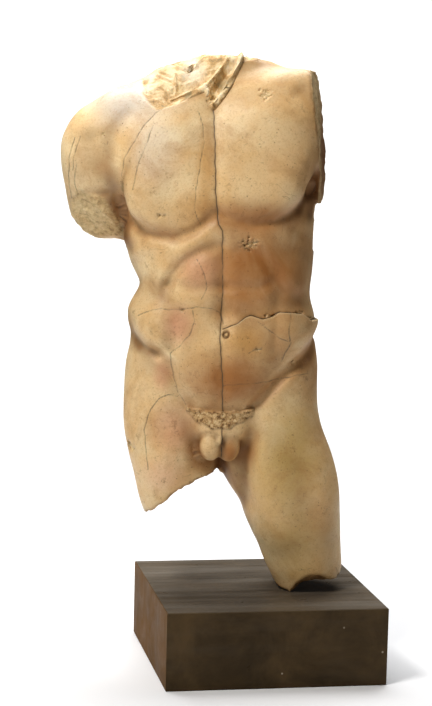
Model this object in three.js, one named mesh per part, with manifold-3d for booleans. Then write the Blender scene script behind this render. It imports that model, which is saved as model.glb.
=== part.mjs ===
// A broken marble torso of a standing youth, set on a square slab of dark stone. Millimetres, +Z up.
// The origin is the centre of the slab's underside, and the slab's front faces -Y.
import * as THREE from "three";
import { mergeVertices } from "three/addons/utils/BufferGeometryUtils.js";
import Module from "manifold-3d";

const wasm = await Module();
wasm.setup();

// ---- Driving dimensions ----

const plinth = { side: 400, height: 141, edge: 1.5 };
const seatGap = 0.3; // clearance between the marble and what it stands on
const figure = { turn: -10.6, x: -79, y: 14.5 }; // degrees about Z, and where its midline meets the slab
const grain = { cell: 18.4, steps: 4 }; // spacing of the surface mesh, and how often it is drawn onto the form

const marble = new THREE.MeshStandardMaterial({ color: 0xcaa57c, roughness: 0.5, metalness: 0 });
const darkStone = new THREE.MeshStandardMaterial({ color: 0x3b342d, roughness: 0.4, metalness: 0 });

// ---- Distances: negative inside, positive outside, in millimetres ----

function smoothMin(a, b, k) {
  const h = Math.max(k - Math.abs(a - b), 0) / k;
  return Math.min(a, b) - (h * h * k) / 4;
}

const smoothMax = (a, b, k) => -smoothMin(-a, -b, k);

// An ellipsoid at a place, with its half sizes, turned about X, Y and Z in that order. Above 2 it is squarer.
function lump({ at, size, turn = [0, 0, 0], square = 2, blend }) {
  const angles = turn.map((t) => THREE.MathUtils.degToRad(t));
  const back = new THREE.Matrix4().makeRotationFromEuler(new THREE.Euler(...angles, "ZYX")).transpose().elements;
  return {
    blend,
    distance(x, y, z) {
      const dx = x - at[0];
      const dy = y - at[1];
      const dz = z - at[2];
      const u = Math.abs(back[0] * dx + back[4] * dy + back[8] * dz) / size[0];
      const v = Math.abs(back[1] * dx + back[5] * dy + back[9] * dz) / size[1];
      const w = Math.abs(back[2] * dx + back[6] * dy + back[10] * dz) / size[2];
      const near = Math.pow(u ** square + v ** square + w ** square, 1 / square);
      if (near < 1e-3) return -Math.min(...size);
      const slope = Math.hypot(
        (u / near) ** (square - 1) / size[0],
        (v / near) ** (square - 1) / size[1],
        (w / near) ** (square - 1) / size[2],
      );
      return (near - 1) / slope;
    },
  };
}

// A rounded cord of muscle or bone through several places.
function cord({ through, radius, blend }) {
  return {
    blend,
    distance(x, y, z) {
      let nearest = Infinity;
      for (let i = 1; i < through.length; i++) {
        const [ax, ay, az] = through[i - 1];
        const bx = through[i][0] - ax;
        const by = through[i][1] - ay;
        const bz = through[i][2] - az;
        const along = ((x - ax) * bx + (y - ay) * by + (z - az) * bz) / (bx * bx + by * by + bz * bz);
        const t = Math.min(1, Math.max(0, along));
        nearest = Math.min(nearest, Math.hypot(x - ax - t * bx, y - ay - t * by, z - az - t * bz));
      }
      return nearest - radius;
    },
  };
}

// A smooth curve through rows of numbers: the first in each row is the place, the rest are the values there.
function curveThrough(rows) {
  const last = rows.length - 1;
  const slopeAt = (i, k) => {
    const a = rows[Math.max(0, i - 1)];
    const b = rows[Math.min(last, i + 1)];
    return (b[k] - a[k]) / (b[0] - a[0]);
  };
  return (place, k) => {
    if (place <= rows[0][0]) return rows[0][k];
    if (place >= rows[last][0]) return rows[last][k];
    let i = 1;
    while (rows[i][0] < place) i++;
    const span = rows[i][0] - rows[i - 1][0];
    const t = (place - rows[i - 1][0]) / span;
    const bend = t * t * (3 - 2 * t);
    const out = t * (1 - t) * (1 - t) * span * slopeAt(i - 1, k);
    const into = t * t * (t - 1) * span * slopeAt(i, k);
    return rows[i - 1][k] * (1 - bend) + rows[i][k] * bend + out + into;
  };
}

// A body of rounded sections, each row [z, x, y, half width, front depth, back depth], capped at both ends.
function column({ rows, square = 2, blend, cap = 40 }) {
  const value = curveThrough(rows);
  const low = rows[0][0];
  const high = rows[rows.length - 1][0];
  return {
    blend,
    distance(x, y, z) {
      const dx = Math.abs(x - value(z, 1));
      const dy = y - value(z, 2);
      const reach = Math.pow(dx / value(z, 3), square);
      const depth = Math.pow(Math.abs(dy) / value(z, dy < 0 ? 4 : 5), square);
      const share = Math.pow(reach + depth, 1 / square);
      const side = share < 1e-6 ? -value(z, 3) : Math.hypot(dx, dy) * (1 - 1 / share);
      return smoothMax(side, Math.max(z - high, low - z), cap);
    },
  };
}

// A chisel stroke seen from the front or the back: it sinks the surface by depth along a line of [x, z] places.
function stroke({ line, width, depth, back = false }) {
  return (x, y, z) => {
    const facing = Math.min(1, Math.max(0, ((back ? y : -y) + 20) / 45));
    if (facing === 0) return 0;
    let nearest = Infinity;
    for (let i = 1; i < line.length; i++) {
      const bx = line[i][0] - line[i - 1][0];
      const bz = line[i][1] - line[i - 1][1];
      const along = ((x - line[i - 1][0]) * bx + (z - line[i - 1][1]) * bz) / (bx * bx + bz * bz);
      const t = Math.min(1, Math.max(0, along));
      const dx = x - line[i - 1][0] - t * bx;
      const dz = z - line[i - 1][1] - t * bz;
      nearest = Math.min(nearest, dx * dx + dz * dz);
    }
    return facing * depth * Math.exp(-nearest / (width * width));
  };
}

// ---- The trunk, upright and symmetrical: x is the distance from the midline ----

const trunkSections = [
  [262, 0, 0, 105, 66, 84],
  [330, 0, 0, 160, 82, 94],
  [400, 0, 0, 167, 90, 94],
  [455, 0, 0, 159, 90, 88],
  [520, 0, 0, 152, 90, 80],
  [575, 0, 0, 150, 92, 80],
  [640, 0, 0, 164, 101, 92],
  [720, 0, 0, 168, 104, 104],
  [800, 0, 0, 164, 94, 108],
  [860, 0, 2, 148, 74, 100],
  [905, 0, 6, 108, 54, 82],
  [945, 0, 14, 68, 50, 64],
  [1010, 0, 10, 58, 46, 56],
];

const trunkForms = [
  // Chest and shoulders
  lump({ at: [80, -50, 758], size: [93, 52, 96], turn: [-9, 3, 0], square: 2.5, blend: 18 }), // breast
  lump({ at: [95, -46, 822], size: [105, 46, 78], blend: 35 }), // breast up to the collar bone
  cord({ through: [[118, -58, 752], [168, -34, 785], [200, -16, 815]], radius: 38, blend: 26 }), // breast to arm
  lump({ at: [212, 2, 828], size: [66, 62, 84], turn: [0, -4, 0], blend: 26 }), // shoulder cap
  lump({ at: [160, -14, 866], size: [72, 48, 48], turn: [0, 12, 0], blend: 30 }), // between breast and shoulder
  lump({ at: [108, 34, 912], size: [128, 42, 34], turn: [0, 18, 0], blend: 26 }), // trapezius
  lump({ at: [52, 26, 940], size: [52, 48, 40], blend: 26 }), // side of the neck
  cord({ through: [[18, -50, 880], [90, -54, 892], [150, -38, 900], [198, -8, 902]], radius: 12, blend: 24 }), // collar bone
  // Back
  lump({ at: [98, 70, 795], size: [68, 42, 88], turn: [0, 10, 0], blend: 26 }), // shoulder blade
  cord({ through: [[56, 94, 826], [120, 86, 866], [190, 42, 892]], radius: 20, blend: 24 }), // ridge of the blade
  lump({ at: [124, 34, 690], size: [50, 68, 125], turn: [0, -5, 0], blend: 30 }), // broad back muscle
  cord({ through: [[38, 60, 400], [38, 50, 530], [42, 68, 660], [38, 84, 800]], radius: 31, blend: 20 }), // spine muscles
  // Ribs and belly
  lump({ at: [40, -44, 566], size: [74, 52, 88], square: 2.3, blend: 26 }), // belly, above the navel
  lump({ at: [0, -56, 424], size: [98, 56, 96], square: 2.2, blend: 18 }), // belly, below the navel
  // Hips
  lump({ at: [103, 8, 492], size: [61, 84, 60], blend: 26 }), // flank over the hip bone
  lump({ at: [84, -48, 476], size: [62, 44, 52], turn: [0, 18, 0], blend: 26 }), // flank, in front
  lump({ at: [122, 26, 400], size: [52, 70, 84], blend: 26 }), // hip
  lump({ at: [80, 64, 326], size: [86, 68, 86], blend: 14 }), // buttock
  lump({ at: [0, -62, 306], size: [62, 38, 36], blend: 14 }), // pubic mound
  lump({ at: [18, -88, 265], size: [21, 22, 25], turn: [0, 6, 0], blend: 10 }), // testicle
];

const trunkStrokes = [
  stroke({ line: [[0, 872], [0, 680]], width: 13, depth: 2.5 }), // breast bone
  stroke({ line: [[0, 632], [0, 492]], width: 11, depth: 5 }), // middle of the belly
  stroke({ line: [[0, 440], [0, 360]], width: 12, depth: 2 }),
  stroke({ line: [[10, 688], [43, 662], [80, 650], [116, 656], [146, 676], [160, 706]], width: 13, depth: 5 }),
  stroke({ line: [[170, 730], [186, 790], [182, 846], [156, 880]], width: 16, depth: 4 }), // breast from shoulder
  stroke({ line: [[0, 662], [30, 654], [76, 632], [100, 604], [118, 576], [132, 548]], width: 16, depth: -3 }), // ribs
  stroke({ line: [[0, 640], [30, 632], [68, 614], [86, 592], [101, 568], [118, 542]], width: 12, depth: 7 }), // arch
  stroke({ line: [[4, 562], [70, 564]], width: 17, depth: 2 }), // across the belly
  stroke({ line: [[4, 514], [76, 516]], width: 17, depth: 2 }),
  stroke({ line: [[98, 548], [92, 500], [92, 450]], width: 15, depth: 3 }), // side of the belly muscle
  stroke({ line: [[168, 462], [142, 445], [118, 424], [101, 390], [86, 353], [66, 334]], width: 11, depth: 12 }), // groin
  stroke({ line: [[140, 690], [166, 676]], width: 12, depth: 2.5 }), // between the ribs at the side
  stroke({ line: [[136, 652], [164, 634]], width: 12, depth: 2.5 }),
  stroke({ line: [[132, 616], [160, 598]], width: 12, depth: 2.5 }),
  stroke({ line: [[0, 900], [0, 430]], width: 20, depth: 15, back: true }), // spine
  stroke({ line: [[0, 400], [0, 235]], width: 13, depth: 34, back: true }), // between the buttocks
  stroke({ line: [[36, 424], [36, 424.1]], width: 13, depth: 7, back: true }), // dimples over the buttocks
  stroke({ line: [[165, 474], [110, 452], [60, 420]], width: 15, depth: 8, back: true }), // hip bone behind
  stroke({ line: [[148, 700], [110, 700], [60, 742]], width: 18, depth: 6, back: true }), // below the blades
];

// The stance: the midline sways sideways with height, and the chest tips so that one shoulder is higher.
const stance = curveThrough([
  [200, 4, 0],
  [440, 6, 0],
  [500, 7, 0.4],
  [600, 1, 3],
  [700, -9, 6.4],
  [800, -17, 8],
  [870, -21, 8.2],
  [1000, -24, 8],
]); // height, sideways shift, tip in degrees

const trunkColumn = column({ rows: trunkSections, square: 2.2, blend: 0 });

function trunk(px, y, pz) {
  const x = px - stance(pz, 1);
  const z = pz - x * Math.tan(THREE.MathUtils.degToRad(stance(pz, 2)));
  const side = Math.abs(x);
  let d = trunkColumn.distance(side, y, z);
  for (const form of trunkForms) d = smoothMin(d, form.distance(side, y, z), form.blend);
  for (const cut of trunkStrokes) d += cut(side, y, z);
  return d;
}

// ---- The legs, each as it stands ----

const standingLeg = column({
  rows: [
    [-70, 182, -6, 50, 52, 56],
    [5, 174, -4, 62, 64, 66],
    [36, 167, -2, 70, 70, 70],
    [77, 158, 0, 77, 78, 76],
    [107, 149, 0, 83, 84, 80],
    [143, 139, 0, 88, 88, 84],
    [188, 131, 0, 90, 92, 86],
    [239, 121, 2, 88, 92, 88],
    [290, 108, 4, 86, 90, 88],
    [341, 98, 4, 84, 86, 86],
    [410, 90, 4, 74, 78, 78],
  ],
  square: 2.1,
  blend: 22,
});

const freeLeg = column({
  rows: [
    [60, -46, -38, 60, 64, 64],
    [148, -62, -26, 70, 74, 74],
    [188, -70, -18, 73, 80, 78],
    [239, -81, -8, 79, 86, 84],
    [290, -88, 0, 83, 88, 86],
    [341, -91, 4, 81, 86, 86],
    [410, -86, 4, 72, 78, 78],
  ],
  square: 2.1,
  blend: 22,
});

const leaningForms = [
  column({
    rows: [
      [632, -223, 14, 50, 52, 52],
      [695, -230, 12, 53, 56, 56],
      [752, -229, 8, 58, 58, 56],
      [811, -226, 6, 54, 54, 52],
    ],
    blend: 22,
    cap: 16,
  }), // right arm
  column({
    rows: [
      [700, 209, 14, 50, 52, 52],
      [748, 209, 12, 53, 56, 56],
      [808, 202, 8, 58, 58, 56],
      [870, 190, 6, 54, 54, 52],
    ],
    blend: 22,
    cap: 16,
  }), // left arm
  lump({ at: [-148, 22, 886], size: [84, 42, 30], turn: [0, -30, 0], blend: 24 }), // raised right shoulder
  lump({ at: [112, 0, 578], size: [48, 74, 62], blend: 26 }), // left side of the waist, drawn out straight
  lump({ at: [-102, 0, 496], size: [66, 84, 56], blend: 26 }), // right flank, heavier
];

const legForms = [
  lump({ at: [60, 8, 238], size: [54, 62, 78], turn: [0, -14, 0], blend: 22 }), // inner thigh, standing leg
  lump({ at: [-40, 4, 250], size: [42, 58, 60], blend: 22 }), // inner thigh, free leg
  lump({ at: [112, -48, 190], size: [44, 52, 110], turn: [0, -12, 0], blend: 26 }), // front of the standing thigh
  lump({ at: [178, -18, 190], size: [42, 60, 105], turn: [0, -8, 0], blend: 26 }), // outside of the standing thigh
  lump({ at: [-92, -54, 235], size: [44, 48, 90], turn: [8, 8, 0], blend: 26 }), // front of the free thigh
];

const legStrokes = [
  stroke({ line: [[96, 400], [70, 330], [52, 250], [60, 170]], width: 16, depth: 4 }),
  stroke({ line: [[-30, 248], [-70, 236], [-125, 246]], width: 15, depth: 9, back: true }), // under the buttocks
  stroke({ line: [[30, 246], [80, 232], [140, 240]], width: 15, depth: 9, back: true }),
];

function body(x, y, z) {
  let d = trunk(x, y, z);
  let legs = Math.min(standingLeg.distance(x, y, z), freeLeg.distance(x, y, z));
  for (const form of legForms) legs = smoothMin(legs, form.distance(x, y, z), form.blend);
  d = smoothMin(d, legs, 20);
  for (const form of leaningForms) d = smoothMin(d, form.distance(x, y, z), form.blend);
  for (const cut of legStrokes) d += cut(x, y, z);
  return d;
}

// ---- From the form to a closed surface ----

const bodyBox = { low: [-330, -175, -100], high: [300, 185, 1040] };

// Where the signs alternate round a square of the grid, two sheets of the surface would share an edge. The
// corner nearest to the surface changes side, until no square is left like that.
function partSheets(values, count, steps) {
  const atEnd = (start, axis) => Math.floor(start / steps[axis]) % count[axis] === count[axis] - 1;
  let changed = true;
  while (changed) {
    changed = false;
    for (let axis = 0; axis < 3; axis++) {
      const [p, q] = [0, 1, 2].filter((a) => a !== axis);
      for (let start = 0; start + steps[p] + steps[q] < values.length; start++) {
        if (atEnd(start, p) || atEnd(start, q)) continue;
        const square = [start, start + steps[p], start + steps[p] + steps[q], start + steps[q]];
        const inside = square.map((c) => values[c] < 0);
        if (inside[0] !== inside[2] || inside[1] !== inside[3] || inside[0] === inside[1]) continue;
        const weakest = square.reduce((a, b) => (Math.abs(values[b]) < Math.abs(values[a]) ? b : a));
        values[weakest] = values[weakest] < 0 ? 0.01 : -0.01;
        changed = true;
      }
    }
  }
}

// One vertex in each cell that the surface crosses, and one four-sided face on each crossed edge of the grid.
function surfaceOf(distance, { low, high }, cell) {
  const count = low.map((v, i) => Math.ceil((high[i] - v) / cell) + 1);
  const [nx, ny, nz] = count;
  const index = (i, j, k) => (k * ny + j) * nx + i;
  const values = new Float64Array(nx * ny * nz);
  for (let k = 0; k < nz; k++)
    for (let j = 0; j < ny; j++)
      for (let i = 0; i < nx; i++)
        values[index(i, j, k)] = distance(low[0] + i * cell, low[1] + j * cell, low[2] + k * cell);
  const steps = [1, nx, nx * ny];
  partSheets(values, count, steps);
  const vertexOf = new Map();
  const points = [];
  for (let k = 0; k < nz - 1; k++)
    for (let j = 0; j < ny - 1; j++)
      for (let i = 0; i < nx - 1; i++) {
        const here = index(i, j, k);
        const sum = [0, 0, 0];
        let crossings = 0;
        for (let axis = 0; axis < 3; axis++) {
          const others = [0, 1, 2].filter((a) => a !== axis);
          for (let corner = 0; corner < 4; corner++) {
            const at = [0, 0, 0];
            at[others[0]] = corner & 1;
            at[others[1]] = corner >> 1;
            const start = here + at[0] + at[1] * nx + at[2] * nx * ny;
            const a = values[start];
            const b = values[start + steps[axis]];
            if (a < 0 === b < 0) continue;
            at[axis] = a / (a - b);
            for (let n = 0; n < 3; n++) sum[n] += at[n];
            crossings++;
          }
        }
        if (!crossings) continue;
        vertexOf.set(here, points.length / 3);
        points.push(...sum.map((s, n) => low[n] + ([i, j, k][n] + s / crossings) * cell));
      }
  const faces = [];
  for (let k = 1; k < nz - 1; k++)
    for (let j = 1; j < ny - 1; j++)
      for (let i = 1; i < nx - 1; i++)
        for (let axis = 0; axis < 3; axis++) {
          const here = index(i, j, k);
          const inside = values[here] < 0;
          if (inside === values[here + steps[axis]] < 0) continue;
          const u = steps[(axis + 1) % 3];
          const v = steps[(axis + 2) % 3];
          const ring = [here, here - u, here - u - v, here - v].map((c) => vertexOf.get(c));
          if (!inside) ring.reverse();
          faces.push(ring);
        }
  return { points: Float32Array.from(points), faces };
}

// Draws each vertex onto the form along its steepest slope.
function drawOnto(distance, points, times, furthest) {
  const h = 0.5;
  for (let v = 0; v < points.length; v += 3)
    for (let n = 0; n < times; n++) {
      const [x, y, z] = points.subarray(v, v + 3);
      const d = distance(x, y, z);
      const slope = [
        (distance(x + h, y, z) - distance(x - h, y, z)) / (2 * h),
        (distance(x, y + h, z) - distance(x, y - h, z)) / (2 * h),
        (distance(x, y, z + h) - distance(x, y, z - h)) / (2 * h),
      ];
      const steep = slope[0] ** 2 + slope[1] ** 2 + slope[2] ** 2;
      const move = Math.min(furthest, Math.max(-furthest, d / Math.max(steep, 0.2)));
      for (let i = 0; i < 3; i++) points[v + i] -= move * slope[i];
    }
}

// Splits each four-sided face along its shorter diagonal.
function solidOf(points, faces) {
  const apart = (a, b) =>
    Math.hypot(
      points[3 * a] - points[3 * b],
      points[3 * a + 1] - points[3 * b + 1],
      points[3 * a + 2] - points[3 * b + 2],
    );
  const triVerts = faces.flatMap(([a, b, c, d]) =>
    apart(a, c) < apart(b, d) ? [a, b, c, a, c, d] : [a, b, d, b, c, d],
  );
  return new wasm.Manifold(
    new wasm.Mesh({ numProp: 3, vertProperties: points, triVerts: Uint32Array.from(triVerts) }),
  );
}

// ---- The breaks ----

// A small fixed waviness, so that a broken face isn't flat.
const ripple = (u, v) =>
  Math.sin(u * 0.061 + v * 0.034 + 1.3) + 0.7 * Math.sin(v * 0.093 - u * 0.047 + 0.4) + 0.5 * Math.sin((u + v) * 0.14);

function solidFromGeometry(geometry) {
  const plain = geometry.clone();
  plain.deleteAttribute("normal");
  plain.deleteAttribute("uv");
  const merged = mergeVertices(plain, 1e-3);
  return new wasm.Manifold(
    new wasm.Mesh({
      numProp: 3,
      vertProperties: merged.attributes.position.array,
      triVerts: Uint32Array.from(merged.index.array),
    }),
  );
}

// A block that takes the stone away beyond a rough face. The face is at a place, looks along facing, and spans
// from low to high across it: u along across, and v square to that.
function breakBlock({ at, facing, across, low, high, depth = 260, rough, relief = () => 0 }) {
  const size = [high[0] - low[0], high[1] - low[1]];
  const block = new THREE.BoxGeometry(...size, depth, Math.round(size[0] / 18), Math.round(size[1] / 18), 1);
  block.translate((low[0] + high[0]) / 2, (low[1] + high[1]) / 2, depth / 2);
  const place = block.attributes.position;
  for (let i = 0; i < place.count; i++)
    if (place.getZ(i) < 1) {
      const u = place.getX(i);
      const v = place.getY(i);
      place.setZ(i, rough * ripple(u, v) + relief(u, v));
    }
  const out = new THREE.Vector3(...facing).normalize();
  const side = new THREE.Vector3(...across).addScaledVector(out, -out.dot(new THREE.Vector3(...across))).normalize();
  const up = new THREE.Vector3().crossVectors(out, side);
  block.applyMatrix4(new THREE.Matrix4().makeBasis(side, up, out).setPosition(...at));
  return solidFromGeometry(block);
}

// The neck is broken to an uneven step: [x, y, height] of its hollows and ridges.
const neckHeights = [
  [-120, 5, 945],
  [-96, -50, 886],
  [-72, -10, 922],
  [-78, 45, 950],
  [-60, -54, 897],
  [-44, -22, 922],
  [-22, -62, 911],
  [-40, 15, 958],
  [-28, 55, 968],
  [-10, -34, 930],
  [0, 0, 962],
  [8, 55, 970],
  [24, -34, 966],
  [30, 20, 966],
  [60, -20, 968],
  [64, 40, 962],
  [96, 20, 980],
];

function neckHeight(x, y) {
  let sum = 0;
  let weights = 0;
  for (const [px, py, height] of neckHeights) {
    const weight = 1 / ((x - px) ** 2 + (y - py) ** 2 + 40) ** 1.6;
    sum += weight * height;
    weights += weight;
  }
  return sum / weights;
}

const breaks = [
  breakBlock({
    at: [0, 0, 0],
    facing: [0, 0, 1],
    across: [1, 0, 0],
    low: [-126, -100],
    high: [100, 130],
    depth: 1100,
    rough: 1.5,
    relief: neckHeight,
  }), // neck
  breakBlock({
    at: [-225, -48, 722],
    facing: [-0.25, -0.74, -0.66],
    across: [1, 0, 0],
    low: [-90, -130],
    high: [45, 60],
    rough: 2,
    relief: (u) => -((u / 28) ** 2),
  }), // right arm, in front
  breakBlock({
    at: [-225, 30, 633],
    facing: [-0.12, 0.1, -1],
    across: [1, 0, 0],
    low: [-90, -110],
    high: [51, 130],
    rough: 2,
    relief: (u) => -((Math.min(0, u - 8) / 11) ** 2),
  }), // right arm, below
  breakBlock({
    at: [176, 10, 838],
    facing: [1, -0.14, 0.1],
    across: [0, 1, 0],
    low: [-110, -150],
    high: [110, 130],
    depth: 160,
    rough: 1.2,
    relief: (u, v) => -((v / 40) ** 2),
  }), // left arm
  breakBlock({
    at: [190, 40, 711],
    facing: [0, 0, -1],
    across: [1, 0, 0],
    low: [-24, -60],
    high: [60, 110],
    depth: 90,
    rough: 1,
  }), // left arm, below
  breakBlock({
    at: [-61, -10, 178],
    facing: [0.47, 0.06, -0.88],
    across: [0.88, 0, 0.47],
    low: [-110, -120],
    high: [76, 120],
    rough: 2,
    relief: (u) => -20 * Math.cos((u - 12) / 56),
  }), // free leg
  breakBlock({
    at: [140, -52, 3],
    facing: [0.16, 0.3, -0.94],
    across: [1, 0, 0.17],
    low: [-90, -170],
    high: [140, 60],
    rough: 1.6,
    relief: (u) => -9 * Math.sin(Math.max(0, u) / 32),
  }), // standing leg
  breakBlock({
    at: [140, -30, 0],
    facing: [0, 0, -1],
    across: [1, 0, 0],
    low: [-130, -130],
    high: [130, 130],
    rough: 0,
  }), // the seat that its tip stands on
];

function torsoSolid() {
  const { points, faces } = surfaceOf(body, bodyBox, grain.cell);
  drawOnto(body, points, grain.steps, grain.cell / 3);
  let solid = solidOf(points, faces);
  for (const block of breaks) solid = solid.subtract(block);
  return solid.decompose().reduce((a, b) => (a.volume() > b.volume() ? a : b));
}

function geometryOf(solid) {
  const { numProp, numVert, vertProperties, triVerts } = solid.getMesh();
  const places = new Float32Array(numVert * 3);
  for (let i = 0; i < numVert; i++) places.set(vertProperties.subarray(i * numProp, i * numProp + 3), i * 3);
  const geometry = new THREE.BufferGeometry();
  geometry.setAttribute("position", new THREE.BufferAttribute(places, 3));
  geometry.setIndex(new THREE.BufferAttribute(triVerts, 1));
  geometry.computeVertexNormals();
  return geometry;
}

// ---- The pieces ----

function makeTorso() {
  const mesh = new THREE.Mesh(geometryOf(torsoSolid()), marble);
  mesh.name = "torso";
  return mesh;
}

function makePlinth() {
  const { side, height, edge } = plinth;
  const half = side / 2 - edge;
  const outline = new THREE.Shape([
    new THREE.Vector2(-half, -half),
    new THREE.Vector2(half, -half),
    new THREE.Vector2(half, half),
    new THREE.Vector2(-half, half),
  ]);
  const slab = new THREE.ExtrudeGeometry(outline, {
    depth: height - 2 * edge,
    bevelEnabled: true,
    bevelThickness: edge,
    bevelSize: edge,
    bevelSegments: 1,
  });
  slab.translate(0, 0, edge);
  const mesh = new THREE.Mesh(slab, darkStone);
  mesh.name = "plinth";
  return mesh;
}

const sculpture = new THREE.Group();
const stand = new THREE.Group();
stand.position.set(figure.x, figure.y, plinth.height + seatGap);
stand.rotation.z = THREE.MathUtils.degToRad(figure.turn);
stand.add(makeTorso());
sculpture.add(makePlinth(), stand);

export default sculpture;
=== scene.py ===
import math

import bpy
import numpy as np
from mathutils import Matrix, Vector, geometry, noise


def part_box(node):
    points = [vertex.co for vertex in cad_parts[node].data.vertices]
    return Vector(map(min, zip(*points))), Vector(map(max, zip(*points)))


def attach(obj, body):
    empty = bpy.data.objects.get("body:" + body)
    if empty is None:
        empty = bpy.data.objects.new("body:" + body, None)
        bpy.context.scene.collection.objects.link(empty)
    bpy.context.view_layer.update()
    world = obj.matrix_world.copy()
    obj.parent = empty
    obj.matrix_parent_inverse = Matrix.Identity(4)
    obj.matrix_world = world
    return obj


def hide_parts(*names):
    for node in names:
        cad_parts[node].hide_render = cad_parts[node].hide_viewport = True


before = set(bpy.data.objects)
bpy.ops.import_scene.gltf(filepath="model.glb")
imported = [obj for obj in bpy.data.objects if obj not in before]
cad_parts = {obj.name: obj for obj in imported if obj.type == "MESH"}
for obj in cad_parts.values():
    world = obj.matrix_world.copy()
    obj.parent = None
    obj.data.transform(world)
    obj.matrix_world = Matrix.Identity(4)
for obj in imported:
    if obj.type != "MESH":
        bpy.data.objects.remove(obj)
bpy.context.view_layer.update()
print("frame loaded")

millimetre = 0.001


# Distances here are in millimetres, for many points at once: negative inside, positive outside.
def smoothMin(a, b, k):
    h = np.maximum(k - np.abs(a - b), 0) / k
    return np.minimum(a, b) - h * h * k / 4


def smoothMax(a, b, k):
    return -smoothMin(-a, -b, k)


def turned(angles):  # rotation about X, then Y, then Z
    x, y, z = (Matrix.Rotation(math.radians(t), 3, axis) for t, axis in zip(angles, "XYZ"))
    return np.array(z @ y @ x)


# An ellipsoid with its half sizes. Above 2, square makes it squarer.
def lump(at, size, turn=(0, 0, 0), square=2, blend=20):
    back = turned(turn)
    size = np.array(size, float)

    def distance(p):
        share = np.abs((p - at) @ back) / size
        near = np.maximum(np.power(np.power(share, square).sum(1), 1 / square), 1e-3)
        slope = np.linalg.norm(np.power(share / near[:, None], square - 1) / size, axis=1)
        return (near - 1) / slope

    return distance, blend


# How far points are from a line through several places, in two or three dimensions.
def fromLine(p, places):
    nearest = np.full(len(p), np.inf)
    places = np.array(places, float)
    for a, b in zip(places[:-1], places[1:]):
        along = np.clip((p - a) @ (b - a) / ((b - a) @ (b - a)), 0, 1)
        nearest = np.minimum(nearest, np.linalg.norm(p - a - along[:, None] * (b - a), axis=1))
    return nearest


def cord(through, radius, blend):
    return lambda p: fromLine(p, through) - radius, blend


# A smooth curve through rows: the first number in each row is the place, the rest are the values there.
def curveThrough(rows):
    rows = np.array(rows, float)
    place = rows[:, 0]
    ahead = np.minimum(np.arange(len(rows)) + 1, len(rows) - 1)
    behind = np.maximum(np.arange(len(rows)) - 1, 0)
    slopes = (rows[ahead] - rows[behind]) / (place[ahead] - place[behind])[:, None]

    def value(z, k):
        z = np.clip(z, place[0], place[-1])
        i = np.clip(np.searchsorted(place, z), 1, len(rows) - 1)
        span = place[i] - place[i - 1]
        t = (z - place[i - 1]) / span
        bend = t * t * (3 - 2 * t)
        bulge = t * (1 - t) * span * ((1 - t) * slopes[i - 1, k] - t * slopes[i, k])
        return rows[i - 1, k] * (1 - bend) + rows[i, k] * bend + bulge

    return value


# A body of rounded sections, each row (z, x, y, half width, front depth, back depth).
def column(rows, square=2.0, blend=20, cap=40):
    value = curveThrough(rows)

    def distance(p):
        x, y, z = p.T
        dx = np.abs(x - value(z, 1))
        dy = y - value(z, 2)
        depth = np.where(dy < 0, value(z, 4), value(z, 5))
        wide, deep = dx / value(z, 3), np.abs(dy) / depth
        share = np.power(np.power(wide, square) + np.power(deep, square), 1 / square)
        share = np.maximum(share, 1e-6)
        side = np.hypot(dx, dy) * (1 - 1 / share)
        return smoothMax(side, np.maximum(z - rows[-1][0], rows[0][0] - z), cap)

    return distance, blend


# A chisel stroke seen from the front or the back, along a line of (x, z) places.
def stroke(line, width, depth, back=False):
    def sink(p):
        facing = np.clip(((p[:, 1] if back else -p[:, 1]) + 20) / 45, 0, 1)
        away = fromLine(p[:, ::2], line) / width
        return depth * facing * np.exp(-away * away)

    return sink


# The torso's form, in millimetres in the figure's own frame: X across, Y front to back, Z up from its seat.
trunkColumn, _ = column(
    [
        (262, 0, 0, 105, 66, 84),
        (330, 0, 0, 160, 82, 94),
        (400, 0, 0, 167, 90, 94),
        (455, 0, 0, 159, 90, 88),
        (520, 0, 0, 152, 90, 80),
        (575, 0, 0, 150, 92, 80),
        (640, 0, 0, 164, 101, 92),
        (720, 0, 0, 168, 104, 104),
        (800, 0, 0, 164, 94, 108),
        (860, 0, 2, 148, 74, 100),
        (905, 0, 6, 108, 54, 82),
        (945, 0, 14, 68, 50, 64),
        (1010, 0, 10, 58, 46, 56),
    ],
    square=2.2,
)

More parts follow.
